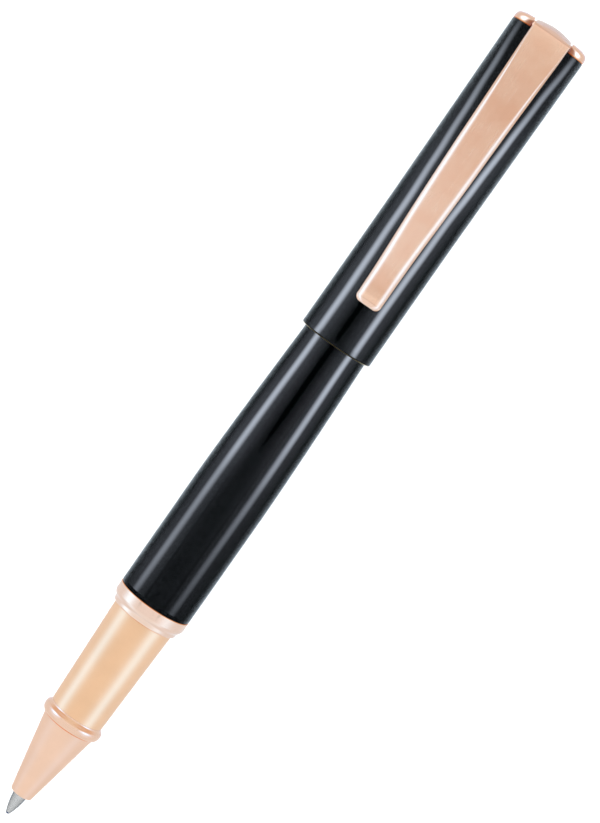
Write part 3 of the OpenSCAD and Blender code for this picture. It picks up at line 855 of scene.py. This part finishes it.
# ----------------------------------------------------------- floor, lights
me = bpy.data.meshes.new("floor")
me.from_pydata([(-2, -2, 0), (2, -2, 0), (2, 2, 0), (-2, 2, 0)], [], [(0, 1, 2, 3)])
floor = bpy.data.objects.new("floor", me)
scene.collection.objects.link(floor)
fm = Nodes("floor_paper")
fn = fm.noise(fm.coords(), 40.0, 3.0, 0.5)
fm.link(fm.mix(fn, (0.93, 0.93, 0.93), (0.95, 0.95, 0.95)), fm.bsdf.inputs["Base Color"])
fm.set(Roughness=0.9, IOR=1.3)
# Seen from below it is clear, so that the underside of the pen can be looked at.
clear = fm.add("ShaderNodeBsdfTransparent")
either = fm.add("ShaderNodeMixShader")
fm.link(fm.add("ShaderNodeNewGeometry").outputs["Backfacing"], either.inputs[0])
fm.link(fm.bsdf.outputs[0], either.inputs[1])
fm.link(clear.outputs[0], either.inputs[2])
fm.link(either.outputs[0], fm.out.inputs["Surface"])
floor.data.materials.append(fm.mat)
floor.visible_glossy = False


def area(name, loc, aim_at, size_x, size_y, power, color=(1, 1, 1), glossy=True, diffuse=True, shadow=True, on=None):
    d = bpy.data.lights.new(name, "AREA")
    d.shape = "RECTANGLE"
    d.size, d.size_y = size_x, size_y
    d.energy = power
    d.color = color
    d.use_shadow = shadow
    o = bpy.data.objects.new(name, d)
    scene.collection.objects.link(o)
    o.location = loc
    o.rotation_mode = "QUATERNION"
    o.rotation_quaternion = (Vector(aim_at) - Vector(loc)).to_track_quat("-Z", "Y")
    o.visible_camera = False
    o.visible_glossy = glossy
    o.visible_diffuse = diffuse
    if on:
        col = bpy.data.collections.new(name + "_on")
        for r in on:
            col.objects.link(r)
        o.light_linking.receiver_collection = col
    return o


# Broad soft light for everything that isn't a mirror, kept out of the reflections.
area("soft_top", (0.1, 0.0, 1.1), (0, 0, 0), 1.6, 1.6, 8.0, glossy=False)
# A shadowless wash that keeps the paper white.
area("paper_wash", (0.0, 0.0, 1.2), (0, 0, 0), 2.4, 2.4, 45.0, glossy=False, shadow=False, on=[floor])


def level(keys, x):
    """Smooth value at x through (x, value) keys in any order of rise and fall."""
    if x <= keys[0][0]:
        return keys[0][1]
    for (a, va), (b, vb) in zip(keys, keys[1:]):
        if x <= b:
            t = (x - a) / (b - a)
            t = t * t * (3 - 2 * t)
            return va + (vb - va) * t
    return keys[-1][1]


def emitter(name, verts, faces, values, color=(1.0, 1.0, 1.0), receivers=None, tint=None):
    """A light surface whose brightness is stored at its corners. It shows only in reflections."""
    me = bpy.data.meshes.new(name)
    me.from_pydata([tuple(v) for v in verts], [], faces)
    at = me.attributes.new("level", "FLOAT", "POINT")
    at.data.foreach_set("value", values)
    if tint:
        tc = me.attributes.new("tint", "FLOAT_COLOR", "POINT")
        tc.data.foreach_set("color", [c for t in tint for c in (*t, 1.0)])
    for p in me.polygons:
        p.use_smooth = True
    o = bpy.data.objects.new(name, me)
    scene.collection.objects.link(o)
    m = bpy.data.materials.new(name)
    m.use_nodes = True
    t = m.node_tree
    t.nodes.clear()
    out = t.nodes.new("ShaderNodeOutputMaterial")
    add = t.nodes.new("ShaderNodeAddShader")
    em = t.nodes.new("ShaderNodeEmission")
    tr = t.nodes.new("ShaderNodeBsdfTransparent")
    t.links.new(em.outputs[0], add.inputs[0])
    t.links.new(tr.outputs[0], add.inputs[1])
    t.links.new(add.outputs[0], out.inputs["Surface"])
    em.inputs["Color"].default_value = (*color, 1)
    a = t.nodes.new("ShaderNodeAttribute")
    a.attribute_name = "level"
    t.links.new(a.outputs["Fac"], em.inputs["Strength"])
    if tint:
        b = t.nodes.new("ShaderNodeAttribute")
        b.attribute_name = "tint"
        t.links.new(b.outputs["Color"], em.inputs["Color"])
    me.materials.append(m)
    o.visible_camera = False
    o.visible_diffuse = False
    o.visible_shadow = False
    o.visible_transmission = False
    o.visible_volume_scatter = False
    if receivers:
        col = bpy.data.collections.new(name + "_on")
        for r in receivers:
            col.objects.link(r)
        o.light_linking.receiver_collection = col
    return o


eye = cam.matrix_world.translation.copy()


def slope_at(x):
    """How fast the tubes narrow at x mm from the middle: the barrel's tail in front, the cap behind."""
    a, b = 14.0, 36.0
    if x <= a:
        d = max(0.0, x - TIP - 62.0)
        return -0.00571 * 1.437 * d ** 0.437
    if x <= b:
        d = a - TIP - 62.0
        return -0.00571 * 1.437 * d ** 0.437 * (b - x) / (b - a)
    return 0.0


def mirrored(x, theta, r):
    """Where light must come from to be mirrored into the lens by the tube at x, theta round from the lens (+ to +Y)."""
    slope = slope_at(x / MM)
    theta += ROLL
    n = Vector((-slope, math.sin(theta), math.cos(theta))).normalized()
    p = Vector((x, r * math.sin(theta), AXIS * MM + r * math.cos(theta)))
    v = (eye - p).normalized()
    return p, (2 * n.dot(v)) * n - v


def mirror_strip(name, side, keys, dist, spread, gain, color, receivers, power=2.0, along=64, across=20):
    """A long soft strip placed so that the tubes show it as a highlight. keys are (x mm from the middle, degrees round
    from the top, brightness). spread is its half width in degrees round the tube."""
    verts, values, faces = [], [], []
    xs = frange(keys[0][0], keys[-1][0], along)
    for x in xs:
        th = level([(k[0], k[1]) for k in keys], x)
        lv = level([(k[0], k[2]) for k in keys], x)
        for j in range(across + 1):
            v = 2 * j / across - 1
            p, d = mirrored(x * MM, side * math.radians(th + v * spread), 0.0063)
            verts.append(p + d * dist)
            values.append(gain * lv * max(0.0, 1 - v * v) ** power)
    w = across + 1
    for i in range(along):
        for j in range(across):
            k = i * w + j
            faces.append((k, k + w, k + w + 1, k + 1))
    return emitter(name, verts, faces, values, color, receivers)


lacquered = [barrel, cap]
metals = [tail, nose, bead, grip, ring, crown, arm, root, ball, coupler]

LEFT = [(-33.7, 34.9, 0.118), (-33.5, 34.9, 0.12), (-29.7, 34.9, 0.165), (-23.3, 34.5, 0.2), (-17, 34.2, 0.216), (-10.7, 33.9, 0.265), (-4.4, 33.7, 0.40), (1.9, 33.4, 0.445), (12.8, 32.6, 0.48), (24, 33.6, 0.47), (39, 35.2, 0.43), (46.7, 38.2, 0.345), (54.3, 41.9, 0.26), (61.9, 46.2, 0.18), (69.4, 51.0, 0.085), (71.6, 52.0, 0.03), (74, 53, 0)]
RIGHT = [(-33.7, 30.9, 0.049), (-33.5, 30.9, 0.05), (-29.7, 31.2, 0.074), (-23.3, 31.4, 0.102), (-17, 31.7, 0.138), (-10.7, 31.9, 0.184), (-4.4, 31.9, 0.30), (1.9, 31.7, 0.40), (12.8, 31.0, 0.50), (24, 31.6, 0.49), (39, 32.9, 0.475), (46.7, 36.4, 0.533), (54.3, 39.4, 0.46), (61.9, 42.6, 0.28), (69.4, 48.4, 0.17), (71.6, 49.6, 0.05), (74, 51, 0)]
BLUISH = (0.78, 0.86, 1.0)
mirror_strip("strip_left", 1, LEFT, 0.40, 8.2, 24.0, BLUISH, lacquered)
mirror_strip("strip_right", -1, RIGHT, 0.40, 7.8, 24.0, BLUISH, lacquered)
# Their wide, faint skirts.
def faded(keys):
    return [(x, t, v * level([(-33, 1.55), (-12, 1.25), (4, 1.0), (46, 1.0), (66, 0.35)], x)) for x, t, v in keys]


mirror_strip("skirt_left", 1, faded(LEFT), 0.42, 26.0, 2.9, BLUISH, lacquered, 1.5)
mirror_strip("skirt_right", -1, faded(RIGHT), 0.42, 25.0, 2.2, BLUISH, lacquered, 1.5)


def dome(name, radius, value, receivers, n_ring=96, n_seg=144):
    """A ball of light round the pen. value gives (brightness, tint) from the angle round the pen's line, 0 straight up
    and 180 straight down, positive to +Y, and from how far the direction leans along the pen, -1 to 1."""
    verts, values, tints, faces = [], [], [], []
    for i in range(n_ring + 1):
        lean = -math.cos(math.pi * i / n_ring)
        s = math.sqrt(max(0.0, 1 - lean * lean))
        for j in range(n_seg):
            a = 2 * math.pi * j / n_seg
            verts.append((lean * radius, s * radius * math.sin(a), AXIS * MM + s * radius * math.cos(a)))
            deg = math.degrees(a) if a <= math.pi else math.degrees(a) - 360
            v, t = value(deg, lean)
            values.append(v)
            tints.append(t)
    for i in range(n_ring):
        for j in range(n_seg):
            k = (j + 1) % n_seg
            faces.append((i * n_seg + j, i * n_seg + k, (i + 1) * n_seg + k, (i + 1) * n_seg + j))
    return emitter(name, verts, faces, values, (1, 1, 1), receivers, tints)


def world_level(up):
    """Brightness of the room by the height of the direction, -1 straight down to 1 straight up."""
    return level([(-1, 0.95), (-0.86, 0.88), (-0.76, 0.66), (-0.62, 0.42), (-0.42, 0.17), (0.2, 0.14), (0.5, 0.2), (1, 0.24)], up)


# The dark line down the middle of the lacquer is a black card over the pen. It is drawn in the room itself, by how far the
# direction leans along the pen and its angle round it.
CARD_W = [(u, math.radians(w)) for u, w in ((-.097, 0), (-.086, 3.5), (-.077, 7.0), (-.066, 8.6), (-.04, 9.2), (.03, 9.4), (.05, 0))]
p, d = mirrored(20 * MM, math.radians(1.6), 0.0063)
CARD_MID = math.atan2(d.y, d.z)
CARD_SOFT = math.radians(0.7)


def carded(deg, lean):
    """How much of the card is seen in a direction."""
    w = 0.0
    for (a, va), (b, vb) in zip(CARD_W, CARD_W[1:]):
        if a <= lean <= b:
            w = va + (vb - va) * (lean - a) / (b - a)
    return min(1.0, max(0.0, (w - abs(math.radians(deg) - CARD_MID)) / CARD_SOFT)) if w > 0 else 0.0


# Light for the metals. Each has red, green and blue levels by how far the direction leans along the pen.
OVERHEAD = {
    "satin": [(-1, .95, .95, .95), (-.66, .95, .94, .93), (-.3, .885, .90, .90), (-.2, .885, .90, .90), (1, .85, .85, .85)],
    "ring": [(-1, .91, 1.01, 1.08), (-.5, .91, 1.01, 1.08), (-.22, .88, .94, 1.0), (.3, .86, .92, .98), (.7, .80, .72, .60), (1, .75, .60, .45)],
    "bead": [(-1, .90, .90, .88), (-.25, .88, .88, .86), (.1, .90, .90, .86), (.45, .86, .80, .70), (.8, .84, .76, .62), (1, .84, .76, .62)],
    "clip": [(-1, .88, .91, .94), (-.17, .89, .955, 1.02), (-.13, .81, .82, .85), (-.08, .81, .79, .79), (-.02, .79, .71, .66), (.03, .74, .64, .57),
             (.07, .675, .565, .49), (.10, .645, .535, .465), (.12, .665, .57, .50), (.135, .70, .63, .57), (.155, .76, .73, .69), (.18, .82, .82, .78), (.24, .86, .86, .83), (.33, .93, .91, .88), (.42, .95, .93, .90), (.47, .82, .84, .83), (.60, .90, .90, .88), (.86, .63, .61, .59), (1, .61, .61, .62)],
    "crown": [(-1, .92, .92, .92), (-.3, .92, .90, .88), (-.1, .80, .72, .66), (.1, .82, .77, .73), (.6, .82, .78, .74), (1, .78, .78, .78)],
}
LOW = {"satin": (.88, .92, .97), "ring": (.84, .91, .98), "bead": (.85, .85, .84), "clip": (.73, .71, .70), "crown": (.80, .75, .71), "nose": (.87, .865, .86)}
# Side highlight: where it stands on the left and right, its strength there and its width.
HIGH = {"satin": (72, 65, 1.42, 1.42, 11.5), "ring": (70, 64, 1.15, .62, 14.0), "bead": (68, 67, 2.0, 1.9, 14.0), "clip": (54, 52, 1.75, 1.75, 11.5), "crown": (102, 100, 3.7, 3.5, 8.5),
        "nose": (70, 66, .26, .30, 12)}


def keyed(rows, x):
    """Smooth values at x through rows of (x, value, value, value)."""
    return [level([(r[0], r[k]) for r in rows], x) for k in (1, 2, 3)]


def metal_light(kind):
    def value(deg, lean):
        a = abs(deg)
        up = math.cos(math.radians(a)) * math.sqrt(max(0.0, 1 - lean * lean))
        over = keyed(OVERHEAD["satin" if kind == "nose" else kind], lean)
        low = LOW[kind]
        t = level([(38, 0.0), (82, 1.0)], a)
        left, right, kl, kr, wide = HIGH[kind]
        mid, k = (left, kl) if deg > 0 else (right, kr)
        h = k * math.exp(-((a - mid) / wide) ** 2 / 2)
        add = (0.14, 0.50, 1.0)
        if kind == "bead":
            h *= math.exp(-((lean - 0.07) / 0.20) ** 2 / 2)
        elif kind == "crown":
            h *= math.exp(-((lean - 0.26) / 0.19) ** 2 / 2)
            add = (0.35, 0.70, 1.0)
        elif kind == "ring":
            h *= level([(-1, 0.25), (-.75, 0.5), (-.5, 1.0), (0.1, 1.0), (.4, 0), (1, 0)], lean)
            add = (0.22, 0.56, 0.88)
        else:
            h *= level([(-1, 1), (.35, 1), (.6, 0), (1, 0)], lean)
        if kind == "clip":
            add = (0.20, 0.52, 0.88)
            h += (0.42 if deg > 0 else 0.12) * math.exp(-((a - 54) / 25) ** 2 / 2)
        v = [over[c] + (low[c] - over[c]) * t + h * add[c] for c in range(3)]
        if kind == "bead":
            # Warm lines round its steep back and its foot.
            b = level([(30, 0), (50, 1), (110, 1), (140, 0.3)], a) * math.exp(-((lean - 0.72) / 0.18) ** 2 / 2)
            v = [v[c] * (1 - b * (0.10, 0.34, 0.52)[c]) for c in range(3)]
        if kind == "crown":
            # The clip beside it darkens its inner ends.
            b = level([(58, 1), (80, 0.8), (97, 0)], a)
            v = [v[c] * (1 - b * (0.62, 0.84, 0.93)[c]) for c in range(3)]
        w = world_level(up) * (1 - carded(deg, lean))
        out = [max(0.0, v[c] - w * WORLD_TINT[c]) for c in range(3)]
        m = max(out)
        return m, tuple(q / max(m, 1e-6) for q in out)
    return value


WORLD_TINT = (0.77, 0.89, 1.0)
dome("satin_room", 1.20, metal_light("satin"), [grip, tail, ball, coupler])
dome("nose_room", 1.22, metal_light("nose"), [nose])
dome("ring_room", 1.24, metal_light("ring"), [ring], 120, 240)
dome("bead_room", 1.26, metal_light("bead"), [bead], 120, 200)
dome("clip_room", 1.28, metal_light("clip"), [arm, root])
dome("crown_room", 1.30, metal_light("crown"), [crown])
dome("tip_room", 1.32, lambda deg, lean: (level([(0, 0.75), (95, 0.6), (120, 0.1), (180, 0.0)], abs(deg)), (1.0, 0.965, 0.93)), [tip])

world = bpy.data.worlds.new("studio")
scene.world = world
world.use_nodes = True
wt = world.node_tree
wt.nodes.clear()
wo = wt.nodes.new("ShaderNodeOutputWorld")
wb = wt.nodes.new("ShaderNodeBackground")
# Behind the pen the view is plain and pale.
pale = wt.nodes.new("ShaderNodeBackground")
pale.inputs["Color"].default_value = (0.93, 0.93, 0.93, 1)
shown = wt.nodes.new("ShaderNodeMixShader")
wt.links.new(wt.nodes.new("ShaderNodeLightPath").outputs["Is Camera Ray"], shown.inputs[0])
wt.links.new(wb.outputs[0], shown.inputs[1])
wt.links.new(pale.outputs[0], shown.inputs[2])
wt.links.new(shown.outputs[0], wo.inputs["Surface"])
wc = wt.nodes.new("ShaderNodeTexCoord")
ws = wt.nodes.new("ShaderNodeSeparateXYZ")
wt.links.new(wc.outputs["Generated"], ws.inputs[0])
wr = wt.nodes.new("ShaderNodeMapRange")
wr.inputs["From Min"].default_value = -1
wr.inputs["From Max"].default_value = 1
wt.links.new(ws.outputs[2], wr.inputs["Value"])
ramp = wt.nodes.new("ShaderNodeValToRGB")
ramp.color_ramp.interpolation = "EASE"
stops = [-1, -0.86, -0.76, -0.62, -0.42, 0.2, 0.5, 1]
els = ramp.color_ramp.elements
while len(els) < len(stops):
    els.new(0.5)
for e2, u in zip(els, stops):
    e2.position = (u + 1) / 2
    q = world_level(u)
    e2.color = (q * 0.77, q * 0.89, q, 1)
wt.links.new(wr.outputs[0], ramp.inputs[0])
wt.links.new(ramp.outputs[0], wb.inputs["Color"])


def wmath(op, a, b=None, clamp=False):
    n = wt.nodes.new("ShaderNodeMath")
    n.operation = op
    n.use_clamp = clamp
    for k, v in enumerate((a, b)):
        if v is None:
            continue
        if isinstance(v, (int, float)):
            n.inputs[k].default_value = v
        else:
            wt.links.new(v, n.inputs[k])
    return n.outputs[0]


turned_by = wmath("ABSOLUTE", wmath("SUBTRACT", wmath("ARCTAN2", ws.outputs[1], ws.outputs[2]), CARD_MID))
wide_at = wt.nodes.new("ShaderNodeValToRGB")
wide_at.color_ramp.interpolation = "LINEAR"
els = wide_at.color_ramp.elements
while len(els) < len(CARD_W):
    els.new(0.5)
for e2, (u, w) in zip(els, CARD_W):
    e2.position = (u + 0.3) / 0.6
    e2.color = (w, w, w, 1)
wt.links.new(wmath("DIVIDE", wmath("ADD", ws.outputs[0], 0.3), 0.6), wide_at.inputs[0])
wide = wmath("MULTIPLY", wide_at.outputs[0], 1.0)
seen = wmath("DIVIDE", wmath("SUBTRACT", wide, turned_by), CARD_SOFT, clamp=True)
wt.links.new(wmath("SUBTRACT", 1.0, seen), wb.inputs["Strength"])

scene.view_settings.view_transform = "Standard"
scene.view_settings.look = "None"
